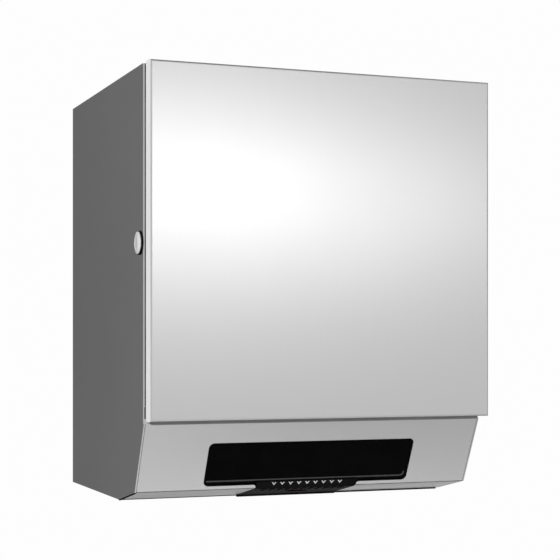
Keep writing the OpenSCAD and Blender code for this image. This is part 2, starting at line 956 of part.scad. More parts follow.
// Hook on the inside of the door face that reaches back past the cam, with its lip behind the locked cam
module lock_keeper() {
    face_y = sheet_t - door_face;
    color(zinc)
        rising(keeper_z0, keeper_z1) {
            translate([keeper_arm_x, face_y])
                square([keeper_foot, keeper_t]);
            translate([keeper_arm_x, face_y])
                square([keeper_t, keeper_t - keeper_lip_d - face_y]);
            translate([keeper_lip_x, -keeper_lip_d])
                square([keeper_arm_x - keeper_lip_x + keeper_t, keeper_t]);
        }
}

// Roll holder on the back plate

roll_c = [-roll_d, roll_z];

module roll_bracket() {
    color(zinc)
        difference() {
            union() {
                block(-bracket_x, bracket_x, sheet_t, bracket_d, bracket_z0, bracket_z1);
                for (z = [roll_z - ear_half_h - ear_t, roll_z + ear_half_h])
                    rising(z, z + ear_t) {
                        translate([arm_x - ear_r, -pivot_d])
                            square([2 * ear_r, pivot_d - bracket_d]);
                        translate([arm_x, -pivot_d])
                            circle(ear_r);
                    }
            }
            post([arm_x, pivot_d], arm_pin_r + fit_gap, bracket_z0, bracket_z1);
            for (c = concat(bracket_screw_xz, foot_screw_xz))
                peg(c, bracket_screw_r + fit_gap, sheet_t - cut, bracket_d + cut);
        }
}

module bracket_screw(c, seat, tip) {
    peg(c, bracket_screw_r, tip, seat);
    difference() {
        peg(c, bracket_screw_head_r, seat, seat + bracket_screw_head_t);
        facing(seat + bracket_screw_head_t / 2, seat + bracket_screw_head_t + cut)
            translate(c)
                square(bracket_screw_slot, center = true);
    }
}

module bracket_screws() {
    color(bright) {
        for (c = bracket_screw_xz)
            bracket_screw(c, bracket_d, bracket_screw_end);
        for (c = foot_screw_xz)
            bracket_screw(c, bracket_d + arm_t, sheet_t);
    }
}

// Outline of a roll arm from its root to the rounded end round the roll axis
module arm_outline(root) {
    polygon(concat(root, [roll_c + [0, arm_end_r], roll_c - [0, arm_end_r]]));
    translate(roll_c)
        circle(arm_end_r);
}

module roll_arm_left() {
    z0 = roll_z - arm_half_h;
    z1 = roll_z + arm_half_h;
    root = [[-bracket_d, z0], [-bracket_d, z1]];
    color(zinc)
        difference() {
            union() {
                across(-arm_x1, -arm_x0)
                    arm_outline(root);
                block(-bracket_x, -arm_x1, bracket_d, bracket_d + arm_t, z0, z1);
            }
            rod(roll_c, thread_r + fit_gap, -arm_x1 - cut, -arm_x0 + cut);
            for (c = foot_screw_xz)
                peg(c, bracket_screw_r + fit_gap, bracket_d - cut, bracket_d + arm_t + cut);
        }
}

module roll_arm_right() {
    step_d = pivot_d + ear_r + arm_step;
    root = [
        [-step_d - arm_flare, roll_z - arm_half_h], [-step_d, barrel_z0], [-pivot_d, barrel_z0],
        [-pivot_d, barrel_z1], [-step_d, barrel_z1], [-step_d - arm_flare, roll_z + arm_half_h]
    ];
    color(zinc)
        difference() {
            union() {
                across(arm_x0, arm_x1)
                    arm_outline(root);
                post([arm_x, pivot_d], barrel_r, barrel_z0, barrel_z1);
            }
            post([arm_x, pivot_d], arm_pin_r + run_gap, barrel_z0 - cut, barrel_z1 + cut);
            rod(roll_c, thread_r + fit_gap, arm_x0 - cut, arm_x1 + cut);
        }
}

module arm_pin() {
    head = roll_z + ear_half_h + ear_t;
    color(bright) {
        post([arm_x, pivot_d], arm_pin_r, roll_z - ear_half_h - ear_t - arm_head_t, head);
        post([arm_x, pivot_d], arm_pin_r + arm_head_w, head, head + arm_head_t);
    }
}

arm_wire = 0.6;
arm_curls = 5;
arm_coil_play = 1.6;
arm_leg_gap = 0.1;
arm_leg_end = 22;
arm_leg_bend = 17;
arm_leg_start = 10;
arm_coil_r = arm_pin_r + arm_coil_play;
arm_coil_z0 = barrel_z1 + arm_wire + side_gap;
arm_coil_h = roll_z + ear_half_h - arm_wire - side_gap - arm_coil_z0;
arm_coil = coil(arm_coil_r, arm_coil_h, arm_curls);

// Torsion spring: one leg bears on the outside of the arm, the other on the bracket
module arm_spring() {
    leg_x = arm_x1 - arm_x + arm_wire + arm_leg_gap;
    path = concat(
        [[leg_x, -arm_leg_end, 0], [leg_x, -arm_leg_bend, 0], [arm_coil_r, -arm_leg_start, 0]],
        arm_coil,
        [[arm_coil_r, pivot_d - bracket_d - side_gap, arm_coil_h]]
    );
    echo(str("arm spring least gap ", least_gap(arm_coil, arm_wire)));
    color(bright)
        translate([arm_x, -pivot_d, arm_coil_z0])
            tube(path, arm_wire);
}

// Hub that fits the roll core and turns on its screw; drawn for the right side
module hub() {
    difference() {
        union() {
            rod(roll_c, hub_flange_r, hub_x1 - hub_flange_t, hub_x1);
            rod(roll_c, core_r, hub_x0 + hub_lead, hub_x1);
            translate([hub_x0, -roll_d, roll_z])
                rotate([0, 90, 0])
                    cylinder(r1 = core_r - hub_lead, r2 = core_r, h = hub_lead);
        }
        rod(roll_c, hub_screw_r + run_gap, hub_x0 - cut, hub_x1 + cut);
        rod(roll_c, hub_head_r + hub_head_play, hub_x0 - cut, hub_x0 + hub_recess);
    }
}

module hub_screw() {
    head_x1 = hub_x0 + hub_recess - side_gap;
    difference() {
        rod(roll_c, hub_head_r, head_x1 - hub_head_t, head_x1);
        across(head_x1 - hub_head_t - cut, head_x1 - hub_head_t + hub_slot_w)
            translate(roll_c)
                square([hub_slot_w, 2 * (hub_head_r - hub_slot_margin)], center = true);
    }
    rod(roll_c, hub_screw_r, head_x1, arm_x0);
    rod(roll_c, thread_r, arm_x0, arm_x1 + thread_end);
}

module roll_hub_left() {
    color(white)
        mirror([1, 0, 0])
            hub();
}

module roll_hub_right() {
    color(white)
        hub();
}

module hub_screw_left() {
    color(bright)
        mirror([1, 0, 0])
            hub_screw();
}

module hub_screw_right() {
    color(bright)
        hub_screw();
}

// Transport module

pinch_c = [-pinch_d, feed_z];

module side_plate_outline() {
    inside = beside(apron_path, fascia_k0);
    brow = on_apron(brow_s, fascia_k0);
    brow_y = brow_gap - cab_d;
    polygon([
        [-module_rear, in_bot], [plate_toe - exit_d, in_bot], inside[1], brow,
        [brow_y, brow[1]], [brow_y, module_top], [-module_rear, module_top]
    ]);
}

// Slot that the pinch bearing slides in, with room in front for its spring
module pinch_slot() {
    reach = block_half + slide_gap;
    translate([-pinch_d - block_half - spring_room, feed_z - reach])
        square([block_half + spring_room + reach, 2 * reach]);
}

// Side plate drawn for the right side, with the holes that both plates share
module side_plate() {
    across(module_in, module_out)
        difference() {
            side_plate_outline();
            translate(feed_c)
                circle(bush_r + fit_gap);
            pinch_slot();
            for (c = rod_dz)
                translate([-c[0], c[1]])
                    circle(rod_r + fit_gap);
        }
}

module module_side_left() {
    color(black)
        difference() {
            union() {
                mirror([1, 0, 0])
                    side_plate();
                for (c = board_hole_dz)
                    rod([-c[0], c[1]], board_post_r, board_x, -module_out);
            }
            for (c = board_hole_dz)
                rod([-c[0], c[1]], screw_r + fit_gap, board_x - cut, board_x + screw_l - board_t + screw_end);
        }
}

module module_side_right() {
    color(black)
        difference() {
            side_plate();
            rod(idler_c, idler_bore_r + fit_gap, module_in - cut, module_out + cut);
            rod(pinion_c, motor_boss_r + fit_gap, module_in - cut, module_out + cut);
        }
}

module module_floor() {
    color(black)
        difference() {
            block(-module_in, module_in, module_rear, exit_rear, in_bot, in_bot + floor_t);
            for (c = stud_xd)
                post(c, stud_r + stud_play, in_bot - cut, in_bot + floor_t + cut);
        }
}

module tie_rods() {
    color(bright)
        for (c = rod_dz) {
            yz = [-c[0], c[1]];
            rod(yz, rod_r, -module_out, module_out);
            rod(yz, rod_head_r, -module_out - rod_head_t, -module_out);
            rod(yz, rod_head_r, module_out, module_out + rod_head_t);
        }
}

// Black plate behind the window, with a bead across it just above the sill
module module_front() {
    head = sill_s - window_h - fascia_overlap;
    bead_half = window_w / 2 - bead_in;
    color(black) {
        across(-module_in, module_in)
            polygon([
                on_apron(head, fascia_k0), on_apron(fascia_end, fascia_k0),
                on_apron(fascia_end, fascia_k1), on_apron(head, fascia_k1)
            ]);
        rod(on_apron(sill_s - bead_up, fascia_k0), bead_r, -bead_half, bead_half);
    }
}

lip_gap = 0.5;
lip_half = notch_w / 2 - lip_gap;
lip_proud = 0.6;
lip_in = fascia_k1;
lip_up = 3;
lip_top = sill_s - lip_up;
lip_short = 4;
lip_tail = norm(bevel_end - apron_bend) - lip_short;
lip_ease = 2.5;
lens_s = [20, 27];
lens_half = 9;
lens_deep = 1.6;
lens_gap = 0.1;
lens_proud = 0.3;
rib_pitch = 7.5;
rib_side = 6;
rib_w = 2.4;
rib_h = 0.8;
rib_root = 0.4;
rib_s = [0, 1, 9, 12];

// Chin of the module that fills the notch: a plain front band, ribs below it and a smooth tail
module outlet_lip() {
    ribs = floor((lip_half - rib_side) / rib_pitch);
    color(black) {
        difference() {
            across(-lip_half, lip_half)
                polygon([
                    on_apron(lip_top, fascia_k0), on_apron(lip_top, -lip_proud),
                    on_apron(apron_len - lip_ease, -lip_proud), on_bevel(lip_ease, -lip_proud),
                    on_bevel(lip_tail, -lip_proud), on_bevel(lip_tail, lip_in),
                    beside(apron_path, lip_in)[1],
                    on_apron(fascia_end, lip_in), on_apron(fascia_end, fascia_k0)
                ]);
            lens_shape(lens_gap, -lip_proud - cut);
        }
        for (i = [-ribs : ribs])
            across(i * rib_pitch - rib_w / 2, i * rib_pitch + rib_w / 2)
                polygon([
                    on_bevel(lip_ease + rib_s[0], rib_root - lip_proud),
                    on_bevel(lip_ease + rib_s[0], -lip_proud),
                    on_bevel(lip_ease + rib_s[1], -lip_proud - rib_h),
                    on_bevel(lip_ease + rib_s[2], -lip_proud - rib_h),
                    on_bevel(lip_ease + rib_s[3], -lip_proud),
                    on_bevel(lip_ease + rib_s[3], rib_root - lip_proud)
                ]);
    }
}

module lens_shape(grow, face) {
    across(-lens_half - grow, lens_half + grow)
        polygon([
            on_bevel(lens_s[0] - grow, face), on_bevel(lens_s[1] + grow, face),
            on_bevel(lens_s[1] + grow, lens_deep), on_bevel(lens_s[0] - grow, lens_deep)
        ]);
}

// Dark window over the hand sensor, in the underside of the lip
module sensor_lens() {
    color([0.2, 0.02, 0.03])
        lens_shape(0, -lip_proud - lens_proud);
}

module chute_wall() {
    color(black)
        block(-module_in, module_in, chute_d0, chute_d0 + chute_t, chute_z0, chute_z1);
}

// Toothed strip on the back of the chute wall, its teeth in the outlet
module tear_bar() {
    count = floor(2 * tear_half / tooth_pitch);
    x0 = -count * tooth_pitch / 2;
    teeth = [
        for (i = [0 : count - 1], side = [0, 1])
            [x0 + (i + side / 2) * tooth_pitch, tear_tip + (side == 0 ? tooth_h : 0)]
    ];
    color(bright)
        facing(chute_d0 - tear_t, chute_d0)
            polygon(concat(teeth, [[-x0, tear_tip + tooth_h], [-x0, tear_top], [x0, tear_top]]));
}

// Two sloping plates that lead the towel down into the nip
module paper_guides() {
    front_y = -nip_d - front_guide_d;
    rear_y = -feed_d - rear_guide_d;
    front = [[front_y, feed_z + pinch_r + front_guide_gap], [front_y - front_guide_flare, guide_top]];
    rear = [[rear_y, feed_z + feed_r + rear_guide_gap], [rear_y + rear_guide_flare, guide_top]];
    color(black)
        across(-module_in, module_in) {
            polygon(sheet_outline(front, -guide_t, 0));
            polygon(sheet_outline(rear, 0, guide_t));
        }
}

module feed_shaft() {
    color(bright)
        rod(feed_c, feed_shaft_r, knob_x - knob_l + knob_cap, gear_x1 + gear_hub + shaft_out);
}

// Rubber sleeves of a roller round c, tight on its shaft
module roller_sleeves(c, r, shaft_r) {
    for (x = sleeve_xs)
        difference() {
            rod(c, r, x, x + sleeve_l);
            rod(c, shaft_r + fit_gap, x - cut, x + sleeve_l + cut);
        }
}

module feed_sleeves() {
    color(rubber)
        roller_sleeves(feed_c, feed_r, feed_shaft_r);
}

// Knob for feeding the towel by hand
module feed_knob() {
    color(white)
        difference() {
            across(knob_x - knob_l, knob_x)
                translate(feed_c)
                    difference() {
                        circle(knob_r);
                        for (i = [0 : knob_flutes - 1])
                            translate((knob_r + flute_out) * ray(i * 360 / knob_flutes))
                                circle(flute_r);
                    }
            rod(feed_c, feed_shaft_r + fit_gap, knob_x - knob_l + knob_cap, knob_x + cut);
        }
}

// A gear round c, its hub reaching from hub0 to hub1, with a bore
module gear(n, c, turn, hub_r, hub0, hub1, bore) {
    difference() {
        union() {
            across(gear_x0, gear_x1)
                translate(c)
                    rotate(turn)
                        polygon(gear_outline(n));
            rod(c, hub_r, hub0, hub1);
        }
        rod(c, bore, hub0 - cut, hub1 + cut);
    }
}

module feed_gear() {
    color(white)
        gear(
            feed_teeth, feed_c, mesh_a, feed_shaft_r + feed_hub_wall,
            gear_x0, gear_x1 + gear_hub, feed_shaft_r + fit_gap
        );
}

module idler_gear() {
    color(white)
        gear(
            idler_teeth, idler_c, idler_turn, idler_bore_r + idler_hub_wall,
            module_out + side_gap, gear_plate_x - side_gap, idler_bore_r + run_gap
        );
}

module idler_axle() {
    color(bright)
        rod(idler_c, idler_bore_r, module_in, gear_plate_x + gear_plate_t + axle_out);
}

module motor_pinion() {
    color("goldenrod") {
        across(gear_x0, gear_x1)
            translate(pinion_c)
                rotate(pinion_turn)
                    polygon(gear_outline(pinion_teeth));
        rod(pinion_c, motor_shaft_r, module_in - motor_shaft_in, gear_x0);
    }
}

module drive_motor() {
    back = module_in - motor_l;
    color(zinc) {
        difference() {
            union() {
                rod(pinion_c, motor_r, back, module_in);
                rod(pinion_c, motor_boss_r, module_in, module_out + motor_boss_out);
                rod(pinion_c, motor_boss_r, back - motor_cap_t, back);
            }
            rod(pinion_c, motor_shaft_r + run_gap, module_in - motor_shaft_in - cut, module_out + cut);
        }
        for (s = [-1, 1])
            across(back - motor_tab[0], back)
                translate(pinion_c + [0, s * motor_tab_z])
                    square([motor_tab[1], motor_tab[2]], center = true);
    }
}

// Outer plate of the gear train on four posts
module gear_plate() {
    x1 = gear_plate_x + gear_plate_t;
    low = [min(post_ys) - gear_plate_rim, min(post_zs) - gear_plate_rim];
    high = [max(post_ys) + gear_plate_rim, max(post_zs) + gear_plate_rim];
    color(zinc)
        difference() {
            union() {
                across(gear_plate_x, x1)
                    translate(low)
                        square(high - low);
                for (c = post_c)
                    rod(c, post_r, module_out, gear_plate_x);
            }
            rod(idler_c, idler_bore_r + fit_gap, gear_plate_x - cut, x1 + cut);
            for (c = post_c)
                rod(c, screw_r + fit_gap, x1 - screw_l - screw_end, x1 + cut);
        }
}

module shaft_bushes() {
    color("tan")
        for (s = [0, 1])
            mirror([s, 0, 0])
                difference() {
                    union() {
                        rod(feed_c, bush_r, module_in, module_out);
                        rod(feed_c, bush_flange_r, module_out, module_out + bush_flange_t);
                    }
                    rod(feed_c, feed_shaft_r + run_gap, module_in - cut, module_out + bush_flange_t + cut);
                }
}

module pinch_shaft() {
    end = module_out + block_lip + shaft_end;
    color(bright)
        rod(pinch_c, pinch_shaft_r, -end, end);
}

module pinch_sleeves() {
    color(rubber)
        roller_sleeves(pinch_c, pinch_r, pinch_shaft_r);
}

// Sliding bearing blocks, each with a lip above and below it outside its plate
module pinch_bearings() {
    color(white)
        for (s = [0, 1])
            mirror([s, 0, 0])
                difference() {
                    union() {
                        across(module_in, module_out + slide_gap)
                            translate(pinch_c)
                                square(2 * block_half, center = true);
                        across(module_out + slide_gap, module_out + slide_gap + block_lip)
                            translate(pinch_c)
                                square([2 * block_half, 2 * (block_half + block_lip_h)], center = true);
                    }
                    rod(pinch_c, pinch_shaft_r + run_gap, module_in - cut, module_out + block_lip + 2 * cut);
                }
}

pinch_coil_l = spring_room - 2 * (spring_wire + spring_end);
pinch_coil = coil(spring_mean_r, pinch_coil_l, spring_curls);

module pinch_springs() {
    front_y = -pinch_d - block_half - spring_wire - spring_end;
    echo(str("pinch spring least gap ", least_gap(pinch_coil, spring_wire)));
    color(bright)
        for (s = [-1, 1])
            translate([s * (module_in + plate_t / 2), front_y, feed_z])
                rotate([90, 0, 0])
                    tube(pinch_coil, spring_wire);
}

// Electronics

module control_board() {
    color("darkgreen")
        difference() {
            block(board_x - board_t, board_x, board_d0, board_d1, board_z0, board_z1);
            for (c = board_hole_dz)
                rod([-c[0], c[1]], screw_r + fit_gap, board_x - board_t - cut, board_x + cut);
        }
}

module board_parts() {
    face = board_x - board_t;
    mid = (board_d0 + board_d1) / 2;
    color([0.2, 0.2, 0.22]) {
        for (b = board_blocks)
            across(face - b[4], face)
                translate([-mid - b[0], board_z0 + b[1]])
                    square([b[2], b[3]], center = true);
        for (c = board_cans)
            rod([-mid - c[0], board_z0 + c[1]], c[2], face - c[3], face);
    }
}

// Pan head screw along X at c, its head outside the face at x and pointing to the side s
module side_screw(c, x, s) {
    mirror([s < 0 ? 1 : 0, 0, 0]) {
        rod(c, screw_r, x - screw_l, x);
        difference() {
            rod(c, screw_head_r, x, x + screw_head_t);
            across(x + screw_head_t / 2, x + screw_head_t + cut)
                translate(c)
                    square(screw_slot, center = true);
        }
    }
}

module stud_nut(c) {
    difference() {
        translate([c[0], -c[1], in_bot + floor_t])
            cylinder(r = nut_r, h = nut_t, $fn = 6);
        post(c, stud_r + fit_gap, in_bot, in_bot + stud_h);
    }
}

// Screws of the board and the gear plate, and the nuts on the weld studs
module module_fasteners() {
    color(bright) {
        for (c = board_hole_dz)
            side_screw([-c[0], c[1]], board_t - board_x, -1);
        for (c = post_c)
            side_screw(c, gear_plate_x + gear_plate_t, 1);
        for (c = stud_xd)
            stud_nut(c);
    }
}

// Battery box

lid_c = [-lid_axis_d, lid_axis_z];

module battery_box() {
    relief = lid_barrel_x + side_gap;
    color(black)
        difference() {
            union() {
                difference() {
                    block(-box_half, box_half, box_d0, box_d1, in_bot, box_top);
                    block(
                        box_wall - box_half, box_half - box_wall, box_d0 + box_wall, box_d1 - box_wall,
                        in_bot + box_wall, box_top + cut
                    );
                    block(
                        -relief, relief, box_d0 - cut, box_d0 + box_wall + cut,
                        box_top - lid_relief, box_top + cut
                    );
                }
                for (s = [0, 1])
                    mirror([s, 0, 0])
                        across(relief, relief + lid_ear_t) {
                            translate(lid_c)
                                circle(lid_ear_r);
                            translate([-lid_axis_d, box_top - lid_relief])
                                square([box_wall, lid_axis_z - box_top + lid_relief]);
                        }
            }
            rod(lid_c, lid_pin_r + run_gap, -relief - lid_ear_t - cut, relief + lid_ear_t + cut);
        }
}

// Four cells in two rows, end to end, each with its raised positive cap
module batteries() {
    color([0.25, 0.25, 0.28])
        for (d = cell_ds, s = [0, 1])
            translate([cell_gap / 2 - s * (cell_l + cell_gap), 0, 0]) {
                rod([-d, cell_z], cell_r, 0, cell_l - cap_l);
                rod([-d, cell_z], cap_r, cell_l - cap_l, cell_l);
            }
}

// Spring plates that press on the ends of each row
module battery_contacts() {
    inner = box_half - box_wall;
    reach = cell_l + cell_gap / 2 + contact_play / 2;
    color("goldenrod")
        for (d = cell_ds, s = [0, 1])
            mirror([s, 0, 0]) {
                across(inner - contact_leaf, inner)
                    translate([-d, cell_z])
                        square(2 * contact_pad, center = true);
                rod([-d, cell_z], contact_dome_r, reach, inner - contact_leaf);
            }
}

// Lid of the battery box, hinged along its rear edge
module battery_cover() {
    z0 = box_top + side_gap;
    flap_d = lid_axis_d + lid_ear_r + lid_flap_gap;
    color(black) {
        block(lid_side - box_half, box_half - lid_side, flap_d, box_d1, z0, z0 + lid_t);
        block(-lid_barrel_x, lid_barrel_x, lid_axis_d, flap_d, z0, z0 + lid_t);
        block(-grip_half, grip_half, box_d1, box_d1 + grip_out, z0, z0 + lid_t);
        rod(lid_c, lid_barrel_r, -lid_barrel_x, lid_barrel_x);
        rod(lid_c, lid_pin_r, -lid_barrel_x - side_gap - lid_ear_t, lid_barrel_x + side_gap + lid_ear_t);
    }
}

back_plate();
top_panel();
side_panel_left();
side_panel_right();
bottom_panel();
lower_apron();
door_panel();
hinge_leaf_cabinet();
hinge_leaf_door();
hinge_pin();
hinge_rivets_cabinet();
hinge_rivets_door();
door_bumpers();
lock_body();
lock_clip();
lock_plug();
lock_cam();
cam_screw();
lock_keeper();
roll_bracket();
bracket_screws();
roll_arm_left();
roll_arm_right();
arm_pin();
arm_spring();
roll_hub_left();
roll_hub_right();
hub_screw_left();
hub_screw_right();
module_side_left();
module_side_right();
module_floor();
tie_rods();
module_front();
outlet_lip();
sensor_lens();
chute_wall();
tear_bar();
paper_guides();
feed_shaft();
feed_sleeves();
feed_knob();
feed_gear();
shaft_bushes();
pinch_shaft();
pinch_sleeves();
pinch_bearings();
pinch_springs();
idler_gear();
idler_axle();
motor_pinion();
drive_motor();
gear_plate();
control_board();
board_parts();
module_fasteners();
battery_box();
batteries();
battery_contacts();
battery_cover();
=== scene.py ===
import json
import math

import bmesh
import bpy
from mathutils import Matrix, Vector


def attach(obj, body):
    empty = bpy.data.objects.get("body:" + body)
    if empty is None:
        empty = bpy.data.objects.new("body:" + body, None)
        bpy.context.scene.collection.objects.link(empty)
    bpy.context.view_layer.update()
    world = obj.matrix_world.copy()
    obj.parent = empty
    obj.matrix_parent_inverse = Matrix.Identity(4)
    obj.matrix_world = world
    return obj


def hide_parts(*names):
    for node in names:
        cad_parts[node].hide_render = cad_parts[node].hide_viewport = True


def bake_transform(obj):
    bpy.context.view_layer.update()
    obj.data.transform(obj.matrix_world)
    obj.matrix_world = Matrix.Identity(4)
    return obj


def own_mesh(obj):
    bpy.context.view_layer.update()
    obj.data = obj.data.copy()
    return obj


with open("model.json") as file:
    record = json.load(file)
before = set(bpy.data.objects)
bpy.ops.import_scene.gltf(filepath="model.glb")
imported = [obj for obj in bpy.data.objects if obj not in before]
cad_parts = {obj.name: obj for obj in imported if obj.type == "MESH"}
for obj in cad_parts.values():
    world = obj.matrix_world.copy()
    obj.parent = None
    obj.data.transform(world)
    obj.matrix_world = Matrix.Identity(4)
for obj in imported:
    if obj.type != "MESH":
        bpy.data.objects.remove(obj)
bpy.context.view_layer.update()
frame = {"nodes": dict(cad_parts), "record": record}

# Looks of the automatic roll towel dispenser. Lengths are in metres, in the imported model's frame:
# X runs to the right, Y runs back to the wall and Z runs up.

MM = 0.001
nodes = frame["nodes"]
scene = bpy.context.scene


# Camera, level, at the photograph's viewing angle

PHOTO_SIDE = 560
FOCAL_PX = 1417.9
SENSOR_MM = 36.0
CAMERA_PLACE = (-0.4994, -1.3978, -0.0488)
CAMERA_YAW = -19.78
CAMERA_SHIFT = (0.098, 0.114)


def make_camera():
    data = bpy.data.cameras.new("camera")
    data.sensor_width = SENSOR_MM
    data.lens = SENSOR_MM * FOCAL_PX / PHOTO_SIDE
    data.shift_x, data.shift_y = CAMERA_SHIFT
    camera = bpy.data.objects.new("camera", data)
    camera.location = CAMERA_PLACE
    camera.rotation_euler = (math.radians(90), 0, math.radians(CAMERA_YAW))
    scene.collection.objects.link(camera)
    scene.camera = camera


make_camera()


# Node helpers

def grey(value):
    return (value, value, value)


class Graph:
    """A material's node tree, with short calls for the nodes used here."""

    def __init__(self, name):
        self.material = bpy.data.materials.new(name)
        self.material.use_nodes = True
        self.tree = self.material.node_tree
        self.shader = self.tree.nodes["Principled BSDF"]
        self.place = self.add("ShaderNodeTexCoord").outputs["Object"]

    def add(self, kind, **settings):
        node = self.tree.nodes.new(kind)
        for key, value in settings.items():
            setattr(node, key, value)
        return node

    def link(self, source, socket):
        self.tree.links.new(source, socket)

    def surface(self, source):
        """Makes a shader the material's surface."""
        self.link(source, self.tree.nodes["Material Output"].inputs["Surface"])

    def wire(self, **sources):
        """Links to the shader's own sockets, named with _ for a space."""
        for key, source in sources.items():
            self.link(source, self.shader.inputs[key.replace("_", " ")])

    def set(self, **values):
        """Constant values on the shader's own sockets, named with _ for a space."""
        for key, value in values.items():
            self.shader.inputs[key.replace("_", " ")].default_value = value

    def stretched(self, scale):
        """The object's coordinates in metres, times a scale per axis."""
        node = self.add("ShaderNodeMapping")
        node.inputs["Scale"].default_value = scale
        self.link(self.place, node.inputs["Vector"])
        return node.outputs["Vector"]

    def axis(self, letter):
        node = self.add("ShaderNodeSeparateXYZ")
        self.link(self.place, node.inputs["Vector"])
        return node.outputs[letter]

    def noise(self, scale, detail=3.0, roughness=0.5):
        node = self.add("ShaderNodeTexNoise")
        node.inputs["Scale"].default_value = 1.0
        node.inputs["Detail"].default_value = detail
        node.inputs["Roughness"].default_value = roughness
        self.link(self.stretched(scale), node.inputs["Vector"])
        return node.outputs["Fac"]

    def cells(self, scale, feature="F1", metric="EUCLIDEAN"):
        node = self.add("ShaderNodeTexVoronoi", feature=feature)
        if feature == "F1":
            node.distance = metric
        node.inputs["Scale"].default_value = 1.0
        self.link(self.stretched(scale), node.inputs["Vector"])
        return node

    def spread(self, value, low, high, start=0.3, end=0.7, **settings):
        """A value from start to end mapped to low to high."""
        node = self.add("ShaderNodeMapRange", **settings)
        for name, number in (("From Min", start), ("From Max", end), ("To Min", low), ("To Max", high)):
            node.inputs[name].default_value = number
        self.link(value, node.inputs["Value"])
        return node.outputs["Result"]

    def fade(self, vector, near, far, low, high):
        """A smooth change from low to high between two distances from the origin."""
        length = self.add("ShaderNodeVectorMath", operation="LENGTH")
        self.link(vector, length.inputs[0])
        return self.spread(length.outputs["Value"], low, high, near, far, interpolation_type="SMOOTHSTEP")

    def ramp(self, value, *stops):
        """Colours along a value, each stop a place and a colour."""
        node = self.add("ShaderNodeValToRGB")
        points = node.color_ramp.elements
        while len(points) < len(stops):
            points.new(1.0)
        for point, (place, colour) in zip(points, stops):
            point.position = place
            point.color = (*colour, 1.0)
        self.link(value, node.inputs["Fac"])
        return node.outputs["Color"]

    def math(self, operation, a, b):
        node = self.add("ShaderNodeMath", operation=operation)
        for socket, value in zip(node.inputs, (a, b)):
            if isinstance(value, (int, float)):
                socket.default_value = value
            else:
                self.link(value, socket)
        return node.outputs["Value"]

    def bump(self, height, distance, strength):
        node = self.add("ShaderNodeBump")
        node.inputs["Distance"].default_value = distance
        node.inputs["Strength"].default_value = strength
        self.link(height, node.inputs["Height"])
        self.link(node.outputs["Normal"], self.shader.inputs["Normal"])

    def grain_along(self, axis):
        """Stretches highlights across a grain that runs along the given axis."""
        node = self.add("ShaderNodeTangent", direction_type="RADIAL", axis=axis)
        self.link(node.outputs["Tangent"], self.shader.inputs["Tangent"])


# World and stage: white to the camera and in reflections, a plain soft level for the rest

WORLD_WHITE = 0.985
WORLD_FILL = 0.55
FLOOR_Z = -0.62
FLOOR_HALF = 14.0
FLOOR_NEAR, FLOOR_FAR = 0.55, 1.9
FLOOR_COLOUR = 0.82


def sees_background(tree):
    """One where a camera, glossy or transmission ray looks, zero for the light itself."""
    path = tree.nodes.new("ShaderNodeLightPath")
    seen = path.outputs["Is Camera Ray"]
    for kind in ("Is Glossy Ray", "Is Transmission Ray"):
        either = tree.nodes.new("ShaderNodeMath")
        either.operation = "MAXIMUM"
        tree.links.new(seen, either.inputs[0])
        tree.links.new(path.outputs[kind], either.inputs[1])
        seen = either.outputs["Value"]
    return seen


def make_world():
    world = bpy.data.worlds.new("studio")
    scene.world = world
    world.use_nodes = True
    tree = world.node_tree
    background = tree.nodes["Background"]
    mix = tree.nodes.new("ShaderNodeMix")
    mix.data_type = "RGBA"
    mix.inputs["A"].default_value = (*grey(WORLD_FILL), 1)
    mix.inputs["B"].default_value = (*grey(WORLD_WHITE), 1)
    tree.links.new(sees_background(tree), mix.inputs["Factor"])
    tree.links.new(mix.outputs["Result"], background.inputs["Color"])


def make_plane(name, centre, half_x, half_y, facing=(0, 0, 1), roll=0.0):
    """A staged rectangle whose front looks along facing, rolled in degrees about that line."""
    mesh = bpy.data.meshes.new(name)
    corners = [(-half_x, -half_y, 0), (half_x, -half_y, 0), (half_x, half_y, 0), (-half_x, half_y, 0)]
    mesh.from_pydata(corners, [], [(0, 1, 2, 3)])
    plane = bpy.data.objects.new(name, mesh)
    turn = Vector(facing).to_track_quat("Z", "Y").to_matrix()
    spin = Matrix.Rotation(math.radians(roll), 3, "Z")
    plane.matrix_world = Matrix.Translation(centre) @ (turn @ spin).to_4x4()
    scene.collection.objects.link(plane)
    return plane


def make_floor():
    """Takes the object's shadow near it and fades to white away from it."""
    graph = Graph("floor")
    speckle = graph.noise((40, 40, 40))
    graph.wire(Base_Color=graph.ramp(speckle, (0.3, grey(FLOOR_COLOUR - 0.01)), (0.7, grey(FLOOR_COLOUR))))
    graph.set(Roughness=0.9, Specular_IOR_Level=0.1)
    fade = graph.fade(graph.place, FLOOR_NEAR, FLOOR_FAR, 0.0, 1.0)
    share = graph.math("MULTIPLY", fade, sees_background(graph.tree))
    white = graph.add("ShaderNodeEmission")
    white.inputs["Color"].default_value = (*grey(WORLD_WHITE), 1)
    mix = graph.add("ShaderNodeMixShader")
    graph.link(share, mix.inputs["Fac"])
    graph.link(graph.shader.outputs["BSDF"], mix.inputs[1])
    graph.link(white.outputs["Emission"], mix.inputs[2])
    graph.surface(mix.outputs["Shader"])
    floor = make_plane("floor", (0, 0, FLOOR_Z), FLOOR_HALF, FLOOR_HALF)
    floor.data.materials.append(graph.material)


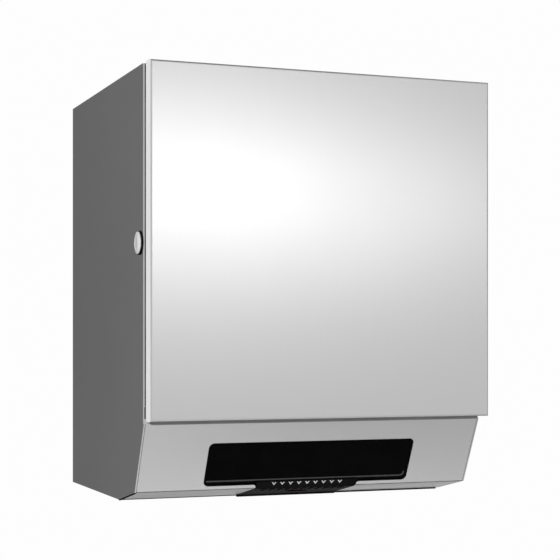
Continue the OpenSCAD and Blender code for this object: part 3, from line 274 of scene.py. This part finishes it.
def make_card(name, centre, half_x, half_y, facing, level, roll=0.0, soft=None):
    """A staged card that only reflections see: an even grey, or a glow that fades from soft outwards."""
    graph = Graph(name)
    glow = graph.add("ShaderNodeEmission")
    if soft is None:
        glow.inputs["Color"].default_value = (*grey(level), 1)
        graph.surface(glow.outputs["Emission"])
    else:
        place = graph.stretched((1 / half_x, 1 / half_y, 1))
        graph.link(graph.fade(place, soft, 1.0, level, 0.0), glow.inputs["Strength"])
        clear = graph.add("ShaderNodeBsdfTransparent")
        both = graph.add("ShaderNodeAddShader")
        graph.link(glow.outputs["Emission"], both.inputs[0])
        graph.link(clear.outputs["BSDF"], both.inputs[1])
        graph.surface(both.outputs["Shader"])
    card = make_plane(name, centre, half_x, half_y, facing, roll)
    card.data.materials.append(graph.material)
    card.visible_camera = False
    card.visible_shadow = False
    card.visible_diffuse = False


def make_lamp(name, centre, target, size, watts):
    """A soft round lamp that reflections don't show."""
    data = bpy.data.lights.new(name, "AREA")
    data.shape = "DISK"
    data.size = size
    data.energy = watts
    lamp = bpy.data.objects.new(name, data)
    lamp.location = centre
    lamp.rotation_euler = (Vector(target) - Vector(centre)).to_track_quat("-Z", "Y").to_euler()
    lamp.visible_glossy = False
    scene.collection.objects.link(lamp)


make_world()
make_floor()
# The glow cards stand at different depths, because overlapping ones in one plane lose light.
make_card("door_glow", (0.74, -1.97, 0.262), 0.69, 0.15, (0, 1, 0), 3.75, roll=3.4, soft=0.0)
make_card("door_glow_left", (0.27, -1.98, 0.318), 0.425, 0.215, (0, 1, 0), 1.8, roll=-5.3, soft=0.69)
make_card("door_glow_low", (0.40, -1.99, 0.11), 0.55, 0.2, (0, 1, 0), 0.62, soft=0.0)
make_card("apron_glow", (-0.15, -0.8, -0.61), 0.5, 0.5, (0, 0, 1), 0.5, soft=0.0)
make_card("sill_glow", (0.2, -0.43, -0.6), 0.8, 0.15, (0, 0, 1), 0.8, soft=0.0)
make_card("under_flag", (0.0, 0.12, -0.605), 0.6, 0.3, (0, 0, 1), 0.08)
make_card("side_flag", (-0.58, 1.1, 0.0), 0.48, 0.75, (0, -1, 0), 0.165)
make_card("right_flag", (1.5, 0.2, 0.0), 0.9, 1.2, (-1, 0, 0), 0.3)
make_card("top_flag", (0.1, -0.5, 1.5), 0.9, 0.7, (0, 0, -1), 0.22)
make_lamp("key", (-1.3, -1.7, 1.7), (0, -0.1, 0), 1.4, 26)
make_lamp("fill", (1.6, -1.2, 0.9), (0, -0.1, 0), 1.4, 9)


# Materials

# Where the door's folded sides start to change and where they fully do, in metres from the middle: the tone
# pair paints a pale highlight into their colour, the roughness pair makes them look dull
PAINTED_BRIGHT_TONE_X = (0.1590, 0.1599)
DULL_ROUGH_X = (0.1592, 0.1598)


def make_stainless(name, grain_axis, dull_and_painted_bright_sides=False):
    """Satin stainless sheet with a fine straight grain and faint handling marks."""
    graph = Graph(name)
    fine, long = 2600, 14
    scale = {"Z": (fine, fine, long), "Y": (fine, long, fine)}[grain_axis]
    grain = graph.noise(scale, 2)
    marks = graph.noise((11, 11, 11), 4, 0.6)
    tone = graph.spread(grain, 0.475, 0.483)
    rough = graph.math("ADD", graph.spread(grain, 0.28, 0.292), graph.spread(marks, -0.006, 0.008))
    # Painted highlight: on the door, the folded sides' colour rises to a pale 0.93, besides their duller
    # roughness.
    if dull_and_painted_bright_sides:
        edge = graph.math("ABSOLUTE", graph.axis("X"), 0)
        tone = graph.math("MAXIMUM", tone, graph.spread(edge, 0.4, 0.93, *PAINTED_BRIGHT_TONE_X))
        rough = graph.math("MAXIMUM", rough, graph.spread(edge, 0.2, 0.75, *DULL_ROUGH_X))
    graph.wire(Base_Color=tone, Roughness=rough)
    graph.set(Metallic=1.0, Anisotropic=0.3)
    graph.grain_along(grain_axis)
    graph.bump(grain, 0.000003, 0.25)
    return graph.material


def make_zinc():
    """Zinc plated sheet: dull, faintly blue and yellow in patches."""
    graph = Graph("zinc_steel")
    patch = graph.noise((60, 60, 60), 5, 0.65)
    fleck = graph.cells((900, 900, 900)).outputs["Color"]
    graph.wire(Base_Color=graph.ramp(
        patch, (0.3, (0.50, 0.51, 0.53)), (0.5, (0.56, 0.57, 0.57)), (0.7, (0.60, 0.59, 0.55))))
    split = graph.add("ShaderNodeSeparateColor")
    graph.link(fleck, split.inputs["Color"])
    graph.wire(Roughness=graph.math("ADD", graph.spread(patch, 0.36, 0.46),
                                    graph.spread(split.outputs["Red"], -0.04, 0.04, 0, 1)))
    graph.set(Metallic=1.0)
    graph.bump(graph.noise((1500, 1500, 1500), 2), 0.00001, 0.5)
    return graph.material


def make_bright(name, low, high, rough):
    """Turned or drawn steel, with fine turning lines along X and slight dulling."""
    graph = Graph(name)
    lines = graph.noise((3200, 500, 500), 2)
    dull = graph.noise((90, 90, 90), 4, 0.6)
    graph.wire(Base_Color=graph.ramp(lines, (0.3, low), (0.7, high)))
    graph.wire(Roughness=graph.math("ADD", graph.spread(lines, rough, rough + 0.06),
                                    graph.spread(dull, -0.02, 0.05)))
    graph.set(Metallic=1.0)
    graph.bump(lines, 0.000004, 0.3)
    return graph.material


def make_plastic(name, low, high, rough, grain, depth, specular=0.5):
    """Moulded plastic: a fine spark-eroded skin and slightly uneven gloss."""
    graph = Graph(name)
    skin = graph.noise((grain, grain, grain), 3, 0.55)
    flow = graph.noise((26, 26, 26), 4, 0.6)
    graph.wire(Base_Color=graph.ramp(flow, (0.3, low), (0.7, high)))
    graph.wire(Roughness=graph.math("ADD", graph.spread(skin, rough - 0.04, rough + 0.04),
                                    graph.spread(flow, -0.03, 0.04)))
    graph.set(Specular_IOR_Level=specular)
    graph.bump(skin, depth, 0.6)
    return graph.material


def make_bronze():
    """Sintered bronze: matt, with open pores."""
    graph = Graph("bronze")
    pores = graph.cells((2600, 2600, 2600)).outputs["Distance"]
    graph.wire(Base_Color=graph.ramp(pores, (0.1, (0.16, 0.09, 0.045)), (0.35, (0.52, 0.33, 0.17))))
    graph.wire(Roughness=graph.spread(pores, 0.7, 0.42, 0.1, 0.5))
    graph.set(Metallic=1.0)
    graph.bump(pores, 0.00003, 0.5)
    return graph.material


def make_circuit():
    """Green solder mask over copper tracks."""
    graph = Graph("circuit")
    tracks = graph.cells((1, 420, 420), "DISTANCE_TO_EDGE").outputs["Distance"]
    vias = graph.cells((1, 260, 260), "F1", "CHEBYCHEV").outputs["Distance"]
    line = graph.spread(tracks, 1, 0, 0.03, 0.06)
    pad = graph.spread(vias, 1, 0, 0.10, 0.13)
    both = graph.math("MAXIMUM", line, pad)
    graph.wire(Base_Color=graph.ramp(
        both, (0.0, (0.012, 0.085, 0.035)), (0.6, (0.03, 0.17, 0.06)), (1.0, (0.06, 0.24, 0.09))))
    graph.wire(Roughness=graph.spread(both, 0.34, 0.24, 0, 1))
    graph.bump(both, 0.00003, 0.7)
    return graph.material


def make_cell_wrap():
    """Plain shrink wrap on the cells, with a pale band towards one end."""
    graph = Graph("cell_wrap")
    along = graph.math("ABSOLUTE", graph.axis("X"), 0)
    wave = graph.noise((200, 200, 200), 3)
    shifted = graph.math("ADD", along, graph.spread(wave, -0.0001, 0.0001))
    graph.wire(Base_Color=graph.ramp(
        graph.spread(shifted, 0, 1, 0.0, 0.0605), (0.0, (0.55, 0.56, 0.58)), (0.24, (0.55, 0.56, 0.58)),
        (0.25, (0.03, 0.07, 0.16)), (0.93, (0.035, 0.08, 0.18)), (0.94, (0.6, 0.6, 0.58))))
    graph.wire(Roughness=graph.spread(wave, 0.22, 0.32))
    graph.set(Coat_Weight=0.3)
    graph.bump(wave, 0.00005, 0.4)
    return graph.material


MATERIALS = {
    "stainless": make_stainless("stainless", "Z"),
    "zinc_steel": make_zinc(),
    "bright_steel": make_bright("bright_steel", grey(0.58), grey(0.66), 0.2),
    "black_plastic": make_plastic("black_plastic", grey(0.014), grey(0.022), 0.5, 1700, 0.00003),
    "black_gloss": make_plastic("black_gloss", grey(0.0012), grey(0.002), 0.2, 500, 0.000002, 0.02),
    "white_plastic": make_plastic(
        "white_plastic", (0.76, 0.75, 0.70), (0.82, 0.81, 0.77), 0.42, 1400, 0.00002),
    "rubber": make_plastic("rubber", grey(0.018), grey(0.034), 0.78, 1100, 0.00006, 0.3),
    "lens": make_plastic("lens", (0.008, 0.001, 0.0015), (0.012, 0.0015, 0.002), 0.16, 300, 0.000002, 0.0),
    "brass": make_bright("brass", (0.66, 0.48, 0.2), (0.75, 0.57, 0.26), 0.24),
    "bronze": make_bronze(),
    "circuit": make_circuit(),
    "electronics": make_plastic("electronics", grey(0.02), grey(0.04), 0.44, 1300, 0.00002),
    "cell_wrap": make_cell_wrap(),
}
CHROME = make_bright("chrome", grey(0.9), grey(0.95), 0.5)
LIP_BLACK = make_plastic("lip_black", grey(0.004), grey(0.012), 0.55, 1700, 0.00003, 0.03)
BEAD_BLACK = make_plastic("bead_black", grey(0.002), grey(0.004), 0.24, 600, 0.000002, 0.6)
# Painted shade: the seals' greys are set to the shadow in the gaps round the door, lighter in the seam
# under the door and darker up the left side.
SEAM_SHADE_GREY = make_plastic("seam_shade_grey", grey(0.2), grey(0.24), 0.7, 1300, 0.00003, 0.2)
GAP_SHADE_DARK = make_plastic("gap_shade_dark", grey(0.012), grey(0.018), 0.7, 1300, 0.00003, 0.05)
# Painted shade: a black with no gloss at all, for dark lines and rims where shade falls.
SHADE_BLACK = make_plastic("shade_black", grey(0.006), grey(0.012), 0.7, 1300, 0.00003, 0.0)
MARK_PAINT = make_plastic("mark_paint", grey(0.72), grey(0.8), 0.5, 2200, 0.00001)
FLAT_STAINLESS = make_stainless("stainless_flat", "Y")
DOOR_STAINLESS = make_stainless("stainless_door", "Z", dull_and_painted_bright_sides=True)
NODE_MATERIALS = {
    "lock_body": CHROME, "lock_plug": CHROME, "door_panel": DOOR_STAINLESS, "outlet_lip": LIP_BLACK,
    "top_panel": FLAT_STAINLESS, "bottom_panel": FLAT_STAINLESS,
}


def dress(piece, material):
    piece.data.materials.clear()
    piece.data.materials.append(material)


for part in frame["record"]["subparts"]:
    dress(nodes[part["node"]], NODE_MATERIALS.get(part["node"], MATERIALS[part["material_slot"]]))


# Springs, wound finer than the solids they stand for. Lengths in millimetres.

ARM_AXIS = (107.05, -14.2)
ARM_COIL_Z = (59.9, 71.1)
ARM_COIL_R, ARM_WIRE_R, ARM_TURNS = 4.1, 0.6, 5
ARM_LEG_X = 2.7
ARM_LEG_YS = (-22, -17, -10)
ARM_REST_Y, ARM_REST_STEPS = 9.9, 6
PINCH_SPRING_X, PINCH_SPRING_Z = 114, -140
PINCH_SPRING_Y, PINCH_LENGTH = -182.05, 7.7
PINCH_COIL_R, PINCH_WIRE_R, PINCH_TURNS = 2.6, 0.45, 4
SHARP_ANGLE = 40


def helix(radius, height, turns, steps=40):
    """Points round the Z axis at an even pitch, from its foot upwards."""
    points = []
    count = turns * steps
    for i in range(count + 1):
        angle = 2 * math.pi * i / steps
        points.append(Vector((radius * math.cos(angle), radius * math.sin(angle), height * i / count)))
    return points


def bridge(mesh, first, second):
    """Joins two rings of vertices with four-sided faces."""
    count = len(first)
    for k in range(count):
        mesh.faces.new((first[k], first[(k + 1) % count], second[(k + 1) % count], second[k]))


def add_wire(mesh, path, radius, sides=14):
    """Sweeps a round wire along a path into a bmesh, with domed ends."""
    rings = []
    angles = [2 * math.pi * k / sides for k in range(sides)]
    side = Vector((0, 0, 1))
    for i, point in enumerate(path):
        ahead = path[min(i + 1, len(path) - 1)] - path[max(i - 1, 0)]
        ahead.normalize()
        side = (side - side.dot(ahead) * ahead).normalized()
        other = ahead.cross(side)
        circle = [radius * (math.cos(angle) * side + math.sin(angle) * other) for angle in angles]
        rings.append([mesh.verts.new(point + out) for out in circle])
    for first, second in zip(rings, rings[1:]):
        bridge(mesh, first, second)
    for ring, step in ((rings[0], path[0] - path[1]), (rings[-1], path[-1] - path[-2])):
        tip = mesh.verts.new(sum((v.co for v in ring), Vector()) / sides + step.normalized() * radius * 0.5)
        for k in range(sides):
            corner = (ring[k], ring[(k + 1) % sides], tip)
            mesh.faces.new(corner if ring is rings[-1] else corner[::-1])


def finish_mesh(name, mesh, material):
    """Turns a bmesh into a dressed piece, smooth except at sharp edges."""
    bmesh.ops.recalc_face_normals(mesh, faces=mesh.faces)
    data = bpy.data.meshes.new(name)
    mesh.to_mesh(data)
    mesh.free()
    data.polygons.foreach_set("use_smooth", [True] * len(data.polygons))
    data.set_sharp_from_angle(angle=math.radians(SHARP_ANGLE))
    piece = bpy.data.objects.new(name, data)
    scene.collection.objects.link(piece)
    dress(piece, material)
    return piece


def smooth_path(points, steps=8):
    """A curve through the points."""
    path = []
    count = len(points)
    for i in range(count - 1):
        before, here, there, after = (points[max(0, min(count - 1, i + k))] for k in (-1, 0, 1, 2))
        for k in range(steps):
            t = k / steps
            path.append(0.5 * (2 * here + (there - before) * t
                               + (2 * before - 5 * here + 4 * there - after) * t * t
                               + (3 * here - before - 3 * there + after) * t ** 3))
    path.append(points[-1])
    return path


def make_arm_spring():
    height = ARM_COIL_Z[1] - ARM_COIL_Z[0]
    coil = helix(ARM_COIL_R, height, ARM_TURNS)
    leg = [Vector((ARM_LEG_X, ARM_LEG_YS[0], 0)), Vector((ARM_LEG_X, ARM_LEG_YS[1], 0)),
           Vector((ARM_COIL_R, ARM_LEG_YS[2], 0)), coil[0]]
    rest = Vector((ARM_COIL_R, ARM_REST_Y, height))
    tail = [coil[-1].lerp(rest, (k + 1) / ARM_REST_STEPS) for k in range(ARM_REST_STEPS)]
    path = smooth_path(leg)[:-1] + coil + tail
    base = Vector((*ARM_AXIS, ARM_COIL_Z[0]))
    mesh = bmesh.new()
    add_wire(mesh, [(base + p) * MM for p in path], ARM_WIRE_R * MM)
    spring = finish_mesh("arm_spring_wound", mesh, MATERIALS["bright_steel"])
    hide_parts("arm_spring")
    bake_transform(spring)


def make_pinch_springs():
    mesh = bmesh.new()
    for side in (-1, 1):
        base = Vector((side * PINCH_SPRING_X, PINCH_SPRING_Y, PINCH_SPRING_Z))
        coil = helix(PINCH_COIL_R, PINCH_LENGTH, PINCH_TURNS)
        add_wire(mesh, [(base + Vector((p.x, -p.z, p.y))) * MM for p in coil], PINCH_WIRE_R * MM)
    spring = finish_mesh("pinch_springs_wound", mesh, MATERIALS["bright_steel"])
    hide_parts("pinch_springs")
    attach(spring, "cabinet")
    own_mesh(spring)


make_arm_spring()
make_pinch_springs()


# Small pieces that the solids leave out: seals and black trims, painted shade in the gaps and along the
# edges, a bead and marks. Lengths in millimetres.

SIDE_X, FRONT_Y, TOP_Z = 160, -252, 188
APRON_TOP, APRON_BEND, BEVEL_END = (FRONT_Y, -116.5), (-224, -177), (-173.5, -188)
X_AXIS, Y_AXIS, Z_AXIS = Vector((1, 0, 0)), Vector((0, 1, 0)), Vector((0, 0, 1))
# The seal strips below are painted shade: rubber set to the tone of the gaps' shadow.
SEAL_HALF_W, SEAL_HALF_D, SEAL_ROUND = 2.5, 2.6, 1.2
SEAL_LEFT, SEAL_RIGHT, SEAL_Y = 2.9 - SIDE_X, SIDE_X - 4, FRONT_Y - 2.65
SEAL_LOW, SEAL_HIGH, SIDE_SHADE_FOOT = -114.7, TOP_Z - 3.4, -101.7
SEAL_CORNER = 3
LOCK_CENTRE = Vector((-SIDE_X, -240, 37))
# Each length of black edging beside the notch, painted shade for the dark line under the bevel, thicker on
# the right: its two ends in X and its thickness
SHADE_EDGINGS = ((2 - SIDE_X, -48.6, 0.5), (49, SIDE_X - 2, 1.1))
SHADE_EDGING_HALF_W, SHADE_EDGING_ROUND, SHADE_EDGING_Y = 1.5, 0.2, BEVEL_END[0] + 1.6
TAIL_HALF_X, TAIL_Y, TAIL_Z = 48.9, BEVEL_END[0] - 2, BEVEL_END[1] - 0.2
CORNER_SHADE_X, CORNER_SHADE_ENDS, CORNER_SHADE_OUT = 0.7 - SIDE_X, (0.5, 51.5), 0.35
BEAD_ALONG, BEAD_OUT, BEAD_R = 58.76, -1.6, 1.05
MARK_PITCH, MARKS_EACH_SIDE = 8, 4
MARK_FACE, MARK_BACK = 0.68, 0.6


class Slope:
    """A sloping face of the apron, given by its upper and lower edge as (Y, Z)."""

    def __init__(self, upper, lower):
        self.start = Vector((0, *upper))
        self.along = (Vector((0, *lower)) - self.start).normalized()
        self.out = Vector((0, self.along.z, -self.along.y))

    def at(self, x, along, out=0.0):
        return self.start + x * X_AXIS + along * self.along + out * self.out


APRON = Slope(APRON_TOP, APRON_BEND)
BEVEL = Slope(APRON_BEND, BEVEL_END)


def rounded(half_p, half_q, radius, steps=4):
    """Outline of a rectangle with round corners."""
    points = []
    for quarter, (p, q) in enumerate(((1, 1), (-1, 1), (-1, -1), (1, -1))):
        for k in range(steps + 1):
            angle = math.pi / 2 * (quarter + k / steps)
            points.append((p * (half_p - radius) + radius * math.cos(angle),
                           q * (half_q - radius) + radius * math.sin(angle)))
    return points


def add_bar(mesh, outline, start, end, across, up, ease=0.4):
    """Runs an outline from start to end, with eased ends."""
    step = (end - start).normalized() * ease
    rings = []
    for place, share in ((start, 0.8), (start + step, 1), (end - step, 1), (end, 0.8)):
        rings.append([mesh.verts.new((place + share * (p * across + q * up)) * MM) for p, q in outline])
    for first, second in zip(rings, rings[1:]):
        bridge(mesh, first, second)
    mesh.faces.new(rings[0])
    mesh.faces.new(rings[-1])


def add_ring(mesh, outline, centre, steps=72):
    """Turns an outline of (along, radius) about a line through centre along X."""
    rings = []
    for i in range(steps):
        angle = 2 * math.pi * i / steps
        out = math.cos(angle) * Y_AXIS + math.sin(angle) * Z_AXIS
        points = [centre + along * X_AXIS + radius * out for along, radius in outline]
        rings.append([mesh.verts.new(point * MM) for point in points])
    for i in range(steps):
        bridge(mesh, rings[i], rings[(i + 1) % steps])


def make_door_seal_shades():
    """Rubber sections on the front flanges, painted shade in the gaps round the door: grey across the top
    and the apron, dark up the left side.
    """
    outline = rounded(SEAL_HALF_W, SEAL_HALF_D, SEAL_ROUND)
    mesh = bmesh.new()
    for z in (SEAL_LOW, SEAL_HIGH):
        ends = [Vector((x, SEAL_Y, z)) for x in (SEAL_LEFT + SEAL_CORNER, SEAL_RIGHT)]
        add_bar(mesh, outline, *ends, Z_AXIS, Y_AXIS)
    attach(finish_mesh("door_seal_shade", mesh, SEAM_SHADE_GREY), "cabinet")
    mesh = bmesh.new()
    ends = [Vector((SEAL_LEFT, SEAL_Y, z)) for z in (SIDE_SHADE_FOOT, SEAL_HIGH + SEAL_HALF_W)]
    add_bar(mesh, outline, *ends, X_AXIS, Y_AXIS)
    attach(finish_mesh("side_seal_shade", mesh, GAP_SHADE_DARK), "cabinet")


def make_lock_shade_ring():
    """Black ring round the rim of the lock: painted shade for the dark crescent on the rim's side."""
    mesh = bmesh.new()
    outline = [(0, 9.56), (0, 10.3), (-0.9, 10.3), (-1.5, 10.05), (-1.7, 9.8), (-1.7, 9.56)]
    add_ring(mesh, outline, LOCK_CENTRE)
    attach(finish_mesh("lock_rim_shade", mesh, SHADE_BLACK), "cabinet")


def make_dark_edge_shades():
    """Painted shade in black strips: edging under the bevel and a bar behind the lip's tail for the dark
    line along the bevel's lower edge, and a strip in the bevel's left corner for the dark line there.
    """
    mesh = bmesh.new()
    for x0, x1, thick in SHADE_EDGINGS:
        ends = [Vector((x, SHADE_EDGING_Y, BEVEL_END[1] - thick / 2)) for x in (x0, x1)]
        add_bar(mesh, rounded(SHADE_EDGING_HALF_W, thick / 2, SHADE_EDGING_ROUND), *ends, Y_AXIS, Z_AXIS)
    ends = [Vector((x, TAIL_Y, TAIL_Z)) for x in (-TAIL_HALF_X, TAIL_HALF_X)]
    add_bar(mesh, rounded(1.7, 1.0, 0.4), *ends, Y_AXIS, Z_AXIS)
    ends = [BEVEL.at(CORNER_SHADE_X, along, CORNER_SHADE_OUT) for along in CORNER_SHADE_ENDS]
    add_bar(mesh, rounded(1.15, 0.4, 0.3), *ends, X_AXIS, BEVEL.out)
    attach(finish_mesh("edge_shade_strips", mesh, SHADE_BLACK), "cabinet")


def make_fascia_bead():
    """Polished bead over the plate behind the window, turned up at its right end."""
    mesh = bmesh.new()
    points = [(-96, 0), (-60, 0), (0, 0), (60, 0), (89, 0), (92.8, -0.2), (94.9, -1.8), (95.3, -4.5)]
    path = smooth_path([APRON.at(x, BEAD_ALONG + drop, BEAD_OUT) for x, drop in points])
    add_wire(mesh, [p * MM for p in path], BEAD_R * MM)
    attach(finish_mesh("fascia_bead", mesh, BEAD_BLACK), "cabinet")


def make_lip_marks():
    """A row of chevrons on the lip's front band, where the towel comes out."""
    mesh = bmesh.new()
    outline = [(-2.2, 60.6), (-1.1, 60.6), (0, 62.1), (1.1, 60.6), (2.2, 60.6), (0, 63.6)]
    for i in range(-MARKS_EACH_SIDE, MARKS_EACH_SIDE + 1):
        face, back = (
            [mesh.verts.new(APRON.at(MARK_PITCH * i + x, along, out) * MM) for x, along in outline]
            for out in (MARK_FACE, MARK_BACK))
        mesh.faces.new(face)
        mesh.faces.new(back)
        bridge(mesh, face, back)
    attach(finish_mesh("lip_marks", mesh, MARK_PAINT), "cabinet")


make_door_seal_shades()
make_lock_shade_ring()
make_dark_edge_shades()
make_fascia_bead()
make_lip_marks()


scene.view_settings.view_transform = "Standard"
